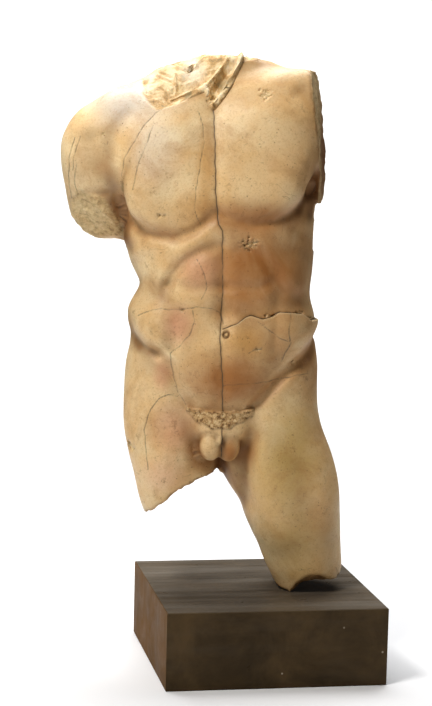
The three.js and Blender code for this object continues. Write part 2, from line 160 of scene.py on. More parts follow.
trunkForms = [
    lump((80, -50, 758), (93, 52, 96), (-9, 3, 0), 2.5, 18),  # breast
    lump((95, -46, 822), (105, 46, 78), blend=35),  # breast up to the collar bone
    cord([(118, -58, 752), (168, -34, 785), (200, -16, 815)], 38, 26),  # breast to arm
    lump((212, 2, 828), (66, 62, 84), (0, -4, 0), blend=26),  # shoulder cap
    lump((160, -14, 866), (72, 48, 48), (0, 12, 0), blend=30),  # between breast and shoulder
    lump((108, 34, 912), (128, 42, 34), (0, 18, 0), blend=26),  # trapezius
    lump((52, 26, 940), (52, 48, 40), blend=26),  # side of the neck
    cord([(30, -26, 890), (100, -22, 898), (165, -8, 900)], 30, 36),  # collar bone
    lump((98, 70, 795), (68, 42, 88), (0, 10, 0), blend=26),  # shoulder blade
    cord([(56, 90, 826), (120, 82, 866), (190, 40, 892)], 20, 40),  # ridge of the blade
    lump((124, 34, 690), (50, 68, 125), (0, -5, 0), blend=30),  # broad back muscle
    cord([(38, 60, 400), (38, 50, 530), (42, 68, 660), (38, 84, 800)], 31, 20),  # spine muscles
    lump((40, -44, 566), (74, 52, 88), square=2.3, blend=26),  # belly, above the navel
    lump((0, -56, 424), (98, 56, 96), square=2.2, blend=18),  # belly, below the navel
    lump((103, 8, 492), (61, 84, 60), blend=26),  # flank over the hip bone
    lump((84, -48, 476), (62, 44, 52), (0, 18, 0), blend=26),  # flank, in front
    lump((122, 26, 400), (52, 70, 84), blend=26),  # hip
    lump((80, 64, 326), (86, 68, 86), blend=14),  # buttock
    lump((0, -62, 306), (62, 38, 36), blend=14),  # pubic mound
]

trunkStrokes = [
    stroke([(0, 872), (0, 680)], 13, 2.5),  # breast bone
    stroke([(0, 632), (0, 492)], 15, 7),  # middle of the belly
    stroke([(0, 440), (0, 360)], 14, 4),
    stroke([(170, 730), (186, 790), (182, 846), (156, 880)], 16, 4),  # breast from shoulder
    stroke([(4, 560), (60, 556), (92, 566)], 11, 5.5),  # across the belly
    stroke([(4, 514), (76, 516)], 14, 3),
    stroke([(98, 548), (92, 500), (92, 450)], 13, 5),  # side of the belly muscle
    stroke([(140, 690), (166, 676)], 12, 2.5),  # between the ribs at the side
    stroke([(136, 652), (164, 634)], 12, 2.5),
    stroke([(132, 616), (160, 598)], 12, 2.5),
    stroke([(0, 900), (0, 430)], 24, 13, back=True),  # spine
    stroke([(0, 372), (0, 235)], 12, 20, back=True),  # between the buttocks
    stroke([(0, 386), (0, 235)], 22, 10, back=True),
    stroke([(36, 424), (36, 424.1)], 13, 7, back=True),  # dimples over the buttocks
    stroke([(165, 474), (110, 452), (60, 420)], 15, 8, back=True),  # hip bone behind
    stroke([(148, 700), (110, 700), (60, 742)], 18, 6, back=True),  # below the blades
]

# The stance, in rows of height, sideways shift and tip in degrees.
stance = curveThrough(
    [
        (200, 4, 0),
        (440, 6, 0),
        (500, 7, 0.4),
        (600, 1, 3),
        (700, -9, 6.4),
        (800, -17, 8),
        (870, -21, 8.2),
        (1000, -24, 8),
    ]
)

legForms = [
    column(
        [
            (-70, 182, -6, 50, 52, 56),
            (5, 174, -4, 62, 64, 66),
            (36, 167, -2, 70, 70, 70),
            (77, 158, 0, 77, 78, 76),
            (107, 149, 0, 83, 84, 80),
            (143, 139, 0, 88, 88, 84),
            (188, 131, 0, 90, 92, 86),
            (239, 121, 2, 88, 92, 88),
            (290, 108, 4, 86, 90, 88),
            (341, 98, 4, 84, 86, 86),
            (410, 90, 4, 74, 78, 78),
        ],
        square=2.1,
        blend=0.01,
    ),  # standing thigh
    column(
        [
            (60, -46, -38, 60, 64, 64),
            (148, -62, -26, 70, 74, 74),
            (188, -70, -18, 73, 80, 78),
            (239, -81, -8, 79, 86, 84),
            (290, -88, 0, 83, 88, 86),
            (341, -91, 4, 81, 86, 86),
            (410, -86, 4, 72, 78, 78),
        ],
        square=2.1,
        blend=0.01,
    ),  # free thigh
    lump((60, 8, 238), (54, 62, 78), (0, -14, 0), blend=22),  # inner thigh, standing leg
    lump((-40, 4, 250), (42, 58, 60), blend=22),  # inner thigh, free leg
    lump((112, -48, 190), (44, 52, 110), (0, -12, 0), blend=26),  # front of the standing thigh
    lump((178, -18, 190), (42, 60, 105), (0, -8, 0), blend=26),  # outside of the standing thigh
    lump((-92, -54, 235), (44, 48, 90), (8, 8, 0), blend=26),  # front of the free thigh
]

leaningForms = [
    column(
        [
            (632, -223, 14, 50, 52, 52),
            (695, -230, 12, 53, 56, 56),
            (752, -229, 8, 58, 58, 56),
            (811, -226, 6, 54, 54, 52),
        ],
        blend=22,
        cap=16,
    ),  # right arm
    column(
        [
            (700, 209, 14, 50, 52, 52),
            (748, 209, 12, 53, 56, 56),
            (808, 202, 8, 58, 58, 56),
            (870, 190, 6, 54, 54, 52),
        ],
        blend=22,
        cap=16,
    ),  # left arm
    lump((-148, 22, 886), (84, 42, 30), (0, -30, 0), blend=24),  # raised right shoulder
    lump((112, 0, 578), (48, 74, 62), blend=26),  # left side of the waist, drawn out straight
    lump((-102, 0, 496), (66, 84, 56), blend=26),  # right flank, heavier
    lump((-12, -88, 272), (20, 21, 26), (0, -6, 0), blend=5),  # testicles
    lump((22, -81, 268), (21, 14, 24), (0, 6, 0), blend=9),
    cord([(13, -86, 312), (8, -94, 298), (3, -98, 282)], 6, 4),  # broken stub between them
]

leaningStrokes = [
    # under the breasts
    stroke([(-186, 707), (-170, 678), (-145, 659), (-115, 646), (-80, 644), (-46, 661), (-24, 680)], 10, 9),
    stroke([(-8, 692), (27, 675), (57, 672), (96, 680), (131, 701), (152, 738)], 11, 7),
    stroke([(-236, 812), (-222, 772)], 16, 5),  # between the right arm and the breast
    stroke([(-264, 706), (-238, 719), (-212, 724)], 9, 6),  # across the right arm
    # edge of the ribs and the arch below it
    stroke([(-44, 642), (-66, 629), (-92, 606), (-112, 570)], 14, -3),
    stroke([(-20, 627), (-36, 623), (-60, 607), (-80, 584), (-95, 560)], 10, 7.5),
    stroke([(70, 642), (86, 632), (113, 602), (130, 565)], 16, -3),
    stroke([(30, 626), (56, 622), (78, 609), (98, 588), (112, 556)], 13, 5),
    # groins
    stroke([(-168, 494), (-158, 470), (-139, 448), (-114, 436)], 11, 7),
    stroke([(-112, 436), (-86, 418), (-80, 390), (-70, 363), (-52, 341)], 12, 5),
    stroke([(178, 472), (158, 434), (138, 420), (111, 394), (85, 367), (62, 346)], 10, 9),
    stroke([(96, 400), (70, 330), (52, 250), (60, 170)], 16, 4),
    stroke([(-30, 248), (-70, 236), (-125, 246)], 15, 9, back=True),  # under the buttocks
    stroke([(30, 246), (80, 232), (140, 240)], 15, 9, back=True),
]


def bodyShape(p):
    x, y, z = p.T
    across = x - stance(z, 1)
    rest = np.stack([np.abs(across), y, z - across * np.tan(np.radians(stance(z, 2)))], axis=1)
    d = trunkColumn(rest)
    for form, blend in trunkForms:
        d = smoothMin(d, form(rest), blend)
    for sink in trunkStrokes:
        d = d + sink(rest)
    legs = np.full(len(p), 1e3)
    for form, blend in legForms:
        legs = smoothMin(legs, form(p), blend)
    d = smoothMin(d, legs, 20)
    for form, blend in leaningForms:
        d = smoothMin(d, form(p), blend)
    for sink in leaningStrokes:
        d = d + sink(p)
    return d


# Places on the broken neck as (x, y, height): flat facets span between them.
neckPlaces = [
    (-152, 10, 926),
    (-140, -40, 903),
    (-131, 5, 938),
    (-118, -32, 912),
    (-104, -58, 878),
    (-96, -52, 882),
    (-103, 0, 948),
    (-91, -20, 932),
    (-88, -42, 902),
    (-84, 0, 947),
    (-72, -52, 892),
    (-62, -46, 906),
    (-64, -22, 930),
    (-62, -5, 948),
    (-50, -62, 900),
    (-50, -10, 957),
    (-35, -64, 906),
    (-35, -46, 916),
    (-41, -10, 966),
    (-26, -30, 944),
    (-21, -70, 874),
    (-24, -50, 908),
    (-21, -12, 970),
    (-8, -62, 893),
    (-10, -46, 912),
    (4, -36, 936),
    (6, -54, 912),
    (15, -46, 935),
    (10, -20, 971),
    (23, -36, 956),
    (24, -26, 970),
    (38, -8, 962),
    (44, 10, 967),
    (50, -70, 965),
    (81, 20, 980),
    (110, -30, 985),
    (-150, 60, 944),
    (-100, 60, 955),
    (-40, 50, 972),
    (10, 60, 970),
    (60, 70, 974),
    (120, 30, 985),
    (120, 130, 985),
    (-10, 130, 965),
    (-190, 20, 960),
    (-190, 130, 960),
    (-170, -120, 850),
    (-60, -90, 886),
    (-20, -90, 866),
    (0, -100, 900),
    (60, -120, 985),
    (130, -120, 990),
]


def facetedHeight(places):
    flat = [Vector(place[:2]) for place in places]
    corners, _, faces, origins, _, _ = geometry.delaunay_2d_cdt(flat, [], [], 0, 1e-4)
    heights = [places[origin[0]][2] for origin in origins]

    def height(x, y):
        result = np.full(len(x), 1000.0)
        for a, b, c in faces:
            (ax, ay), (bx, by), (cx, cy) = corners[a], corners[b], corners[c]
            area = (bx - ax) * (cy - ay) - (cx - ax) * (by - ay)
            s = ((x - ax) * (cy - ay) - (cx - ax) * (y - ay)) / area
            t = ((bx - ax) * (y - ay) - (x - ax) * (by - ay)) / area
            inside = (s >= -1e-6) & (t >= -1e-6) & (s + t <= 1 + 1e-6)
            level = heights[a] + s * (heights[b] - heights[a]) + t * (heights[c] - heights[a])
            result[inside] = level[inside]
        return result

    return height


def ripple(u, v):
    long = np.sin(u * 0.061 + v * 0.034 + 1.3) + 0.7 * np.sin(v * 0.093 - u * 0.047 + 0.4)
    return long + 0.5 * np.sin((u + v) * 0.14)


# What a break takes away: a block beyond a rough face that looks along facing, from low to high across it.
def breakBlock(at, facing, across, low, high, depth=260, rough=2.0, relief=lambda u, v: 0 * u):
    out = np.array(facing, float)
    out /= np.linalg.norm(out)
    side = np.array(across, float)
    side -= out * (out @ side)
    side /= np.linalg.norm(side)
    up = np.cross(out, side)

    def taken(p):
        u, v, w = (p - at) @ side, (p - at) @ up, (p - at) @ out
        face = relief(u, v) + rough * ripple(u, v)
        return np.maximum.reduce([low[0] - u, u - high[0], low[1] - v, v - high[1], face - w, w - depth])

    return taken


neckHeight = facetedHeight(neckPlaces)

breaks = {
    "neck": breakBlock(
        (0, 0, 0), (0, 0, 1), (1, 0, 0), (-186, -118), (108, 128), 1100, 0.6, neckHeight
    ),
    "armFront": breakBlock(
        (-225, -48, 722), (-0.25, -0.74, -0.66), (1, 0, 0), (-90, -130), (45, 60),
        relief=lambda u, v: -((u / 28) ** 2),
    ),
    "armBelow": breakBlock(
        (-225, 30, 633), (-0.12, 0.1, -1), (1, 0, 0), (-90, -110), (51, 130),
        relief=lambda u, v: -((np.minimum(0, u - 8) / 11) ** 2),
    ),
    "leftArm": breakBlock(
        (176, 10, 838), (1, -0.14, 0.1), (0, 1, 0), (-110, -150), (110, 130), 160, 1.2,
        lambda u, v: -((v / 40) ** 2),
    ),
    "leftArmBelow": breakBlock((190, 40, 711), (0, 0, -1), (1, 0, 0), (-24, -60), (60, 110), 90, 1),
    "freeLeg": breakBlock(
        (-61, -10, 178), (0.47, 0.06, -0.88), (0.88, 0, 0.47), (-110, -120), (76, 120),
        relief=lambda u, v: -20 * np.cos((u - 12) / 56),
    ),
    "standingLeg": breakBlock(
        (140, -52, 3), (0.16, 0.3, -0.94), (1, 0, 0.17), (-90, -170), (140, 60), 260, 1.6,
        lambda u, v: -9 * np.sin(np.maximum(0, u) / 32),
    ),
    "standingLegFront": breakBlock(
        (188, -66, 36), (0.1, -0.6, -0.8), (1, 0, 0), (-50, -90), (70, 60), 90, 1.2,
        lambda u, v: 20 * (np.minimum(0, u) / 50) ** 2 + 9 * (np.maximum(0, u) / 43) ** 2,
    ),
    "seat": breakBlock((140, -30, 0), (0, 0, -1), (1, 0, 0), (-130, -130), (130, 130), rough=0),
}


armBreaks = ("armFront", "armBelow", "leftArm", "leftArmBelow")
legBreaks = ("freeLeg", "standingLeg", "standingLegFront")

# The height of the shoulder line on the left side, from the neck outward.
napeX, napeZ = (20, 41, 81, 113, 149, 175), (1010, 969, 963, 951, 948, 948)


def torsoShape(p):
    d = bodyShape(p)
    d = smoothMax(d, p[:, 2] - np.interp(p[:, 0], napeX, napeZ), 8)
    for name, taken in breaks.items():
        d = smoothMax(d, -taken(p), 20) if name == "armFront" else np.maximum(d, -taken(p))
    return d


# Draws points onto the form along its steepest slope.
def drawOnto(shape, p, times, furthest=6.0):
    h = 0.4
    for _ in range(times):
        d = shape(p)
        slope = np.stack([(shape(p + h * axis) - d) / h for axis in np.eye(3)], axis=1)
        steep = np.maximum((slope * slope).sum(1), 0.2)
        p = p - np.clip(d / steep, -furthest, furthest)[:, None] * slope
    return p


# Cracks in the marble, as lines of (x, z) seen from the front.
wideCracks = {
    "middle": [(-32, 890), (-23, 882), (-19, 857), (-16, 808), (-12, 719), (-6, 672), (1, 661),
               (2, 602), (4, 562), (2, 498), (1, 481), (3, 444), (7, 403), (9, 340), (9, 252)],
    "waistLeft": [(6, 486), (18, 490), (32, 497), (46, 508), (54, 511), (66, 508), (77, 505),
                  (93, 510), (107, 517), (127, 516), (146, 513), (161, 500), (176, 500)],
}
fineCracks = {
    "waistRight": [(-149, 502), (-132, 512), (-109, 518), (-66, 518), (-43, 524), (-11, 521),
                   (0, 514), (6, 495)],
    "flankLoop": [(-48, 518), (-46, 497), (-53, 474), (-72, 452), (-88, 439), (-86, 423),
                  (-80, 392), (-70, 365), (-57, 345)],
    "bellyLow": [(8, 385), (30, 388), (53, 389), (95, 392), (136, 400), (162, 403)],
    "leftFlank": [(124, 514), (122, 481), (128, 464), (120, 447), (112, 428)],
    "leftFlankAcross": [(66, 500), (86, 486), (105, 473), (123, 466)],
    "rightThigh": [(-75, 361), (-90, 364), (-106, 355), (-122, 334), (-132, 297), (-123, 227)],
    "rightChest": [(-90, 892), (-110, 874), (-124, 865), (-144, 840), (-175, 787), (-181, 753)],
    "rightChestInner": [(-126, 844), (-139, 805), (-153, 768), (-159, 729)],
    "besideMiddle": [(-48, 871), (-38, 846), (-36, 815), (-42, 774), (-48, 732), (-50, 697), (-37, 669)],
    "bellyScratch": [(53, 445), (64, 450), (75, 452)],
    "armEdge": [(-268, 818), (-276, 786), (-279, 747), (-274, 708)],
    "armEdgeInner": [(-257, 822), (-268, 785), (-270, 760)],
    "armScar": [(-263, 772), (-268, 742), (-262, 716)],
    "bellyHair": [(-44, 610), (-30, 585), (-24, 560), (-34, 538)],
}

# Place (x, z), how many times wider than high, reach and depth of each chip.
chips = [
    ((50, 638), 1.5, 10, 3.2),
    ((-110, 685), 2.4, 4, 2.5),
    ((-160, 262), 1.2, 9, 3.0),
    ((70, 902), 1.3, 9, 2.0),
    ((134, 425), 1.8, 4, 3.0),
    ((-68, 517), 1.6, 2.5, 2.5),
    ((66, 451), 2.5, 2.5, 1.5),
    ((88, 511), 3.2, 2.6, 3.0),
    ((138, 516), 4.0, 2.6, 3.0),
    ((163, 503), 2.0, 3.0, 3.0),
    ((-214, 824), 1.2, 3, 1.5),
]

torso = {
    "turn": -10.6,  # degrees about Z
    "x": -79.0,  # where the figure's midline meets the plinth, in millimetres
    "y": 14.5,
    "seatGap": 0.3,
    "voxel": 5.2,  # spacing of the surface mesh
    "closeUp": 5.0,  # how far from a crack the mesh is finer
    "crackDepth": 0.8,
    "crackWidth": 0.9,
    "fineDepth": 0.5,
    "fineWidth": 1.4,
    "stepHeight": 7.0,  # how far the loose piece at the waist stands proud
    "stepFade": 46,  # how far down from its edge the loose piece sinks back
    "navel": (12, 476),
    "navelSize": 7.5,
    "navelDepth": 4.0,
    "hairHeight": 1.5,
    "hairEdge": 5.0,  # extra height along the hair's upper edge
    "hairGrain": 1.6,
    "breakSoftness": 2.5,
    "unevenness": 0.5,
}

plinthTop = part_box("plinth")[1].z
seat = (torso["x"] * millimetre, torso["y"] * millimetre, plinthTop + torso["seatGap"] * millimetre)
toWorld = (
    Matrix.Translation(seat)
    @ Matrix.Rotation(math.radians(torso["turn"]), 4, "Z")
    @ Matrix.Scale(millimetre, 4)
)
toFigure = toWorld.inverted()


def applied(matrix, p):
    m = np.array(matrix)
    return p @ m[:3, :3].T + m[:3, 3]


def readPoints(mesh):
    p = np.empty(len(mesh.vertices) * 3)
    mesh.vertices.foreach_get("co", p)
    return applied(toFigure, p.reshape(-1, 3))


def writePoints(mesh, p):
    mesh.vertices.foreach_set("co", applied(toWorld, p).ravel())
    mesh.update()


def readNormals(mesh):
    n = np.empty(len(mesh.vertices) * 3)
    mesh.vertices.foreach_get("normal", n)
    return n.reshape(-1, 3) @ np.array(toFigure.to_3x3().normalized()).T


def deselectAll():
    for item in bpy.context.selected_objects:
        item.select_set(False)


def makeActive(piece):
    deselectAll()
    piece.select_set(True)
    bpy.context.view_layer.objects.active = piece


def copyOfNode(node, name):
    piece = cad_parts[node].copy()
    piece.data = piece.data.copy()
    piece.parent = None
    piece.name = name
    for key in list(piece.keys()):
        del piece[key]
    bpy.context.scene.collection.objects.link(piece)
    makeActive(piece)
    bpy.ops.object.mode_set(mode="EDIT")
    bpy.ops.mesh.select_all(action="SELECT")
    bpy.ops.mesh.remove_doubles(threshold=1e-5)
    bpy.ops.object.mode_set(mode="OBJECT")
    return piece


# The broken stub and the rounder forms beside it are added as balls, then all is made one skin.
def addBall(at, size):
    deselectAll()
    bpy.ops.mesh.primitive_uv_sphere_add(segments=24, ring_count=16, radius=1)
    ball = bpy.context.object
    ball.data.transform(toWorld @ Matrix.Translation(at) @ Matrix.Diagonal((*size, 1)))
    return ball


marble = copyOfNode("torso", "marbleTorso")
balls = [
    addBall((-15, -86, 272), (24, 20, 27)),
    addBall((20, -80, 268), (24, 16, 26)),
    addBall((8, -88, 290), (7, 8, 24)),
]
makeActive(marble)
for ball in balls:
    ball.select_set(True)
bpy.ops.object.join()
skin = marble.modifiers.new("skin", "REMESH")
skin.mode = "VOXEL"
skin.voxel_size = torso["voxel"] * millimetre
bpy.ops.object.modifier_apply(modifier="skin")
writePoints(marble.data, drawOnto(torsoShape, readPoints(marble.data), 4))
print("torso drawn onto its form:", len(marble.data.vertices), "points")


# Distance to the nearest of several lines, seen from the front. A slow waver keeps them from being ruled.
def fromLines(p, lines, waver=0.8):
    front = np.where(p[:, 1] < 10, 0.0, 60.0)
    x = p[:, 0] + waver * np.sin(p[:, 2] * 0.19 + 0.7) * np.sin(p[:, 2] * 0.071)
    z = p[:, 2] + waver * np.sin(p[:, 0] * 0.23 + 0.4) * np.sin(p[:, 0] * 0.083)
    flat = np.stack([x, z], axis=1)
    return np.minimum.reduce([fromLine(flat, line) for line in lines.values()]) + front


def within(p, centre, radius):
    return np.hypot(p[:, 0] - centre[0], p[:, 2] - centre[1]) + np.where(p[:, 1] < 0, 0, 1e3) < radius


# How far a point is under the hair's upper edge, and how far above its lower one.
def hairDepth(p):
    x = p[:, 0] - 4
    top = 335 + (x / 24) ** 2 + 1.2 * np.sin(x * 0.3)
    bottom = 305 + (np.abs(x) / 11.5) ** 2 + 2 * np.sin(x * 0.22 + 1)
    near = (p[:, 1] < -30) & (np.abs(x) < 62)
    return np.where(near, top - p[:, 2], -50), np.where(near, p[:, 2] - bottom, -50)


# How much a point belongs to each broken face, 0 to 1: well inside the whole body, and close to the face.
def brokenness(p):
    soft = torso["breakSoftness"]
    inside = np.clip((-bodyShape(p) - 0.5) / soft, 0, 1)
    return {name: inside * np.clip(2 - np.abs(taken(p)) / soft, 0, 1) for name, taken in breaks.items()}


# Edges left standing at the broken neck and the clefts beside them: a line of (x, z), half width, height.
neckRelief = [
    ([(-21, 878), (-6, 897), (6, 916), (15, 937), (23, 957), (26, 968)], 5.5, 8),
    ([(-25, 892), (-17, 910), (-4, 932), (10, 953)], 9, -11),
    ([(-96, 885), (-70, 896), (-50, 905), (-36, 911), (-29, 900), (-22, 881)], 6, 6),
    ([(-88, 902), (-72, 908), (-54, 914)], 9, -8),
    ([(-36, 914), (-20, 932), (-4, 952), (4, 966)], 4, 4),
    ([(-91, 934), (-88, 915), (-90, 898)], 4, 4),
    ([(-70, 942), (-56, 948)], 7, -5),
    ([(-120, 938), (-98, 928)], 3, -2.5),
    ([(-124, 930), (-98, 920)], 3, -2.5),
]


def neckRise(p):
    rise = np.zeros(len(p))
    close = (p[:, 2] > 862) & (np.abs(p[:, 0] + 60) < 110) & (p[:, 1] < 12)
    flat = p[close][:, ::2]
    for line, width, height in neckRelief:
        rise[close] += height * np.clip(1.1 - fromLine(flat, line) / width, 0, 1)
    return rise


# How deep in a fold or under an overhang a point lies, 0 to 1.
def hollowness(p, normals, reach):
    return np.clip(1 - torsoShape(p + normals * reach) / reach, 0, 1)


def refine(piece, chosen):
    mesh = piece.data
    marks = chosen(readPoints(mesh))
    loops = np.empty(len(mesh.loops), int)
    mesh.loops.foreach_get("vertex_index", loops)
    starts = np.empty(len(mesh.polygons), int)
    mesh.polygons.foreach_get("loop_start", starts)
    picked = np.logical_or.reduceat(marks[loops], starts)
    makeActive(piece)
    bpy.ops.object.mode_set(mode="EDIT")
    bpy.ops.mesh.select_mode(type="FACE")
    bpy.ops.mesh.select_all(action="DESELECT")
    bpy.ops.object.mode_set(mode="OBJECT")
    mesh.polygons.foreach_set("select", picked)
    bpy.ops.object.mode_set(mode="EDIT")
    bpy.ops.mesh.subdivide(number_cuts=1, quadcorner="INNERVERT")
    bpy.ops.object.mode_set(mode="OBJECT")


def firstDetail(p):
    near = fromLines(p, wideCracks) < torso["closeUp"]
    near |= fromLines(p, fineCracks) < torso["closeUp"] * 0.6
    near |= within(p, torso["navel"], 18) | within(p, (3, 280), 42)
    for centre, wider, reach, _ in chips:
        near |= within(p, centre, reach * (wider + 1))
    near |= np.minimum(*hairDepth(p)) > -5
    broken = brokenness(p)
    return near | (broken["neck"] > 0) | (broken["armFront"] > 0.1) | (neckRise(p) != 0)


def secondDetail(p):
    near = fromLines(p, wideCracks) < torso["closeUp"] * 0.5
    near |= within(p, torso["navel"], 13) | within(p, chips[0][0], 16) | within(p, chips[3][0], 14)
    return near | (neckRise(p) != 0)


refine(marble, firstDetail)
refine(marble, secondDetail)
writePoints(marble.data, drawOnto(torsoShape, readPoints(marble.data), 2))
print("torso refined:", len(marble.data.vertices), "points")


def stoneNoise(p, size, octaves=4):
    return np.array([noise.fractal(Vector(q), 0.9, 2.1, octaves) for q in p / size])


def carveDetail(piece):
    p = readPoints(piece.data)
    normals = readNormals(piece.data)
    x, y, z = p.T
    wide, fine = fromLines(p, wideCracks), fromLines(p, fineCracks)
    rise = np.zeros(len(p))
    rise -= torso["crackDepth"] * np.exp(-((wide / torso["crackWidth"]) ** 2))
    rise -= torso["fineDepth"] * np.exp(-((fine / torso["fineWidth"]) ** 2))

    # the loose piece at the waist stands proud below its crack
    edge = np.array(wideCracks["waistLeft"], float)
    under = np.interp(x, edge[:, 0], edge[:, 1]) - 1.6 - z
    lift = np.clip(under / 1.2 + 0.5, 0, 1) * np.exp(-((np.maximum(under, 0) / torso["stepFade"]) ** 2))
    sideways = np.clip((x - 6) / 20, 0, 1) * (y < 60)
    rise += torso["stepHeight"] * lift * sideways
    # painted highlight along the lit top edge of the loose piece, just under its crack
    rimHighlight = np.exp(-(((under - 1.5) / 1.4) ** 2)) * sideways * (y < 0)

    # navel: a ring with a small ball in it
    fromNavel = np.hypot(x - torso["navel"][0], z - torso["navel"][1]) + np.where(y < 0, 0, 1e3)
    size = torso["navelSize"]
    rise -= torso["navelDepth"] * np.exp(-(((fromNavel - size * 0.62) / 1.8) ** 2))
    rise += 1.0 * np.exp(-(((fromNavel - size * 1.15) / 2.2) ** 2))

    # hair: a low granular band with a sharp upper edge
    hairUnder, hairAbove = hairDepth(p)
    band = np.clip((hairUnder + 0.6) / 1.6, 0, 1) * np.clip((hairAbove + 2) / 5, 0, 1)
    some = band > 0
    grains = np.zeros(len(p))
    grains[some] = stoneNoise(p[some], 4.5, 3)
    upper = torso["hairEdge"] * np.exp(-((hairUnder / 13) ** 2))
    rise += band * (torso["hairHeight"] + upper + torso["hairGrain"] * grains)

    # chips
    chipped = np.zeros(len(p))
    for centre, wider, reach, deep in chips:
        away = np.hypot((x - centre[0]) / wider, z - centre[1]) + np.where(y < 0, 0, 1e3)
        close = away < reach * 2.2
        rough = np.zeros(len(p))
        rough[close] = stoneNoise(p[close] + 40, 7, 4)
        inside = np.clip(1.2 - away / reach + 0.9 * rough, 0, 1) * close
        rise -= inside * deep * (1 + rough)
        chipped = np.maximum(chipped, inside)

    # broken faces are rough
    broken = brokenness(p)
    ledge = neckRise(p)
    broken["neck"] = np.maximum(broken["neck"], np.clip(np.abs(ledge) / 2, 0, 1))
    anyBreak = np.maximum.reduce([value for name, value in broken.items() if name != "seat"])
    rough = anyBreak > 0
    coarse = np.zeros(len(p))
    coarse[rough] = 1.7 * stoneNoise(p[rough], 17, 4) + 0.8 * stoneNoise(p[rough] + 90, 6, 3)
    coarse *= np.where(broken["neck"] > 0, 0.8, 1.2)
    rise += anyBreak * np.where(z < 4, 0, coarse) + ledge

    # a worn, slightly uneven surface everywhere
    rise += torso["unevenness"] * np.sin(x * 0.05 + z * 0.031) * np.sin(z * 0.043 - y * 0.05 + 1.1)
    writePoints(piece.data, p + normals * rise[:, None])

    # dark marks: dirt beside the wide cracks, a dark ring in the navel, and painted shade on the lower part
    # of the hair
    dirtAndShade = np.clip(1 - wide / 5, 0, 1) * 0.3 + 1.3 * np.exp(-(((fromNavel - size * 0.62) / 2.0) ** 2))
    dirtAndShade += band * np.clip((hairUnder - 9) / 14, 0, 1) * 0.75
    marks = {
        "rimHighlight": rimHighlight,
        "chipped": chipped,
        "wideCrack": np.minimum(wide, 20),
        "fineCrack": np.minimum(fine, 20),
        "neckBreak": broken["neck"],
        "roughBreak": np.maximum.reduce([broken[name] for name in armBreaks]),
        "legBreak": np.maximum.reduce([broken[name] for name in legBreaks]),
        "hair": band,
        "dirtAndShade": np.clip(dirtAndShade, 0, 1),
        # for painted shade in folds and under overhangs
        "fold": hollowness(p, normals, 9),
        "underside": hollowness(p, normals, 32),
    }
    for name, values in marks.items():
        layer = piece.data.attributes.new(name, "FLOAT", "POINT")
        layer.data.foreach_set("value", values.astype(np.float32))


carveDetail(marble)
makeActive(marble)
bpy.ops.object.shade_smooth_by_angle(angle=math.radians(60))
triangles = sum(len(face.vertices) - 2 for face in marble.data.polygons)
print("torso carved:", triangles, "triangles")


def newMaterial(name):
    material = bpy.data.materials.new(name)
    material.use_nodes = True
    return material, material.node_tree, material.node_tree.nodes["Principled BSDF"]


# Adds a node, with its settings, and its inputs given as values or as the sockets that feed them.
def addNode(tree, kind, inputs=None, **settings):
    made = tree.nodes.new(kind)
    for key, value in settings.items():
        setattr(made, key, value)
    for key, value in (inputs or {}).items():
        if isinstance(value, bpy.types.NodeSocket):
            tree.links.new(value, made.inputs[key])
        else:
            made.inputs[key].default_value = value
    return made


def addRamp(tree, source, stops):
    ramp = addNode(tree, "ShaderNodeValToRGB", {"Fac": source})
    elements = ramp.color_ramp.elements
    while len(elements) < len(stops):
        elements.new(0.5)
    for element, (place, colour) in zip(elements, stops):
        element.position = place
        element.color = (*colour, 1) if len(colour) == 3 else colour
    return ramp.outputs["Color"]


def addRange(tree, source, low, high, toLow=0.0, toHigh=1.0):
    inputs = {"Value": source, "From Min": low, "From Max": high, "To Min": toLow, "To Max": toHigh}
    return addNode(tree, "ShaderNodeMapRange", inputs, clamp=True).outputs["Result"]


def addMath(tree, operation, a, b=0.0, clamp=False):
    return addNode(tree, "ShaderNodeMath", {0: a, 1: b}, operation=operation, use_clamp=clamp).outputs[0]


def product(tree, a, b, clamp=False):
    return addMath(tree, "MULTIPLY", a, b, clamp)


def addMix(tree, amount, a, b):
    mix = addNode(tree, "ShaderNodeMix", {"Factor": amount}, data_type="RGBA")
    for socket, value in ((mix.inputs[6], a), (mix.inputs[7], b)):
        if isinstance(value, bpy.types.NodeSocket):
            tree.links.new(value, socket)
        else:
            socket.default_value = (*value, 1)
    return mix.outputs[2]


def addNoise(tree, place, scale, detail=4.0, roughness=0.6, distortion=0.0):
    inputs = {"Vector": place, "Scale": scale, "Detail": detail, "Roughness": roughness}
    inputs["Distortion"] = distortion
    return addNode(tree, "ShaderNodeTexNoise", inputs).outputs["Fac"]


# A soft round patch about a place in the figure's frame, 1 at its middle.
def addPatch(tree, place, centre, size):
    middle = toWorld @ Vector(centre)
    stretch = Vector((1000 / size[0], 1000 / size[1], 1000 / size[2]))
    moved = addNode(tree, "ShaderNodeVectorMath", {0: place, 1: middle}, operation="SUBTRACT").outputs[0]
    scaled = addNode(tree, "ShaderNodeVectorMath", {0: moved, 1: stretch}, operation="MULTIPLY").outputs[0]
    length = addNode(tree, "ShaderNodeVectorMath", {0: scaled}, operation="LENGTH").outputs["Value"]
    inputs = {"Value": length, "From Min": 1.0, "From Max": 0.15}
    return addNode(tree, "ShaderNodeMapRange", inputs, interpolation_type="SMOOTHSTEP").outputs["Result"]


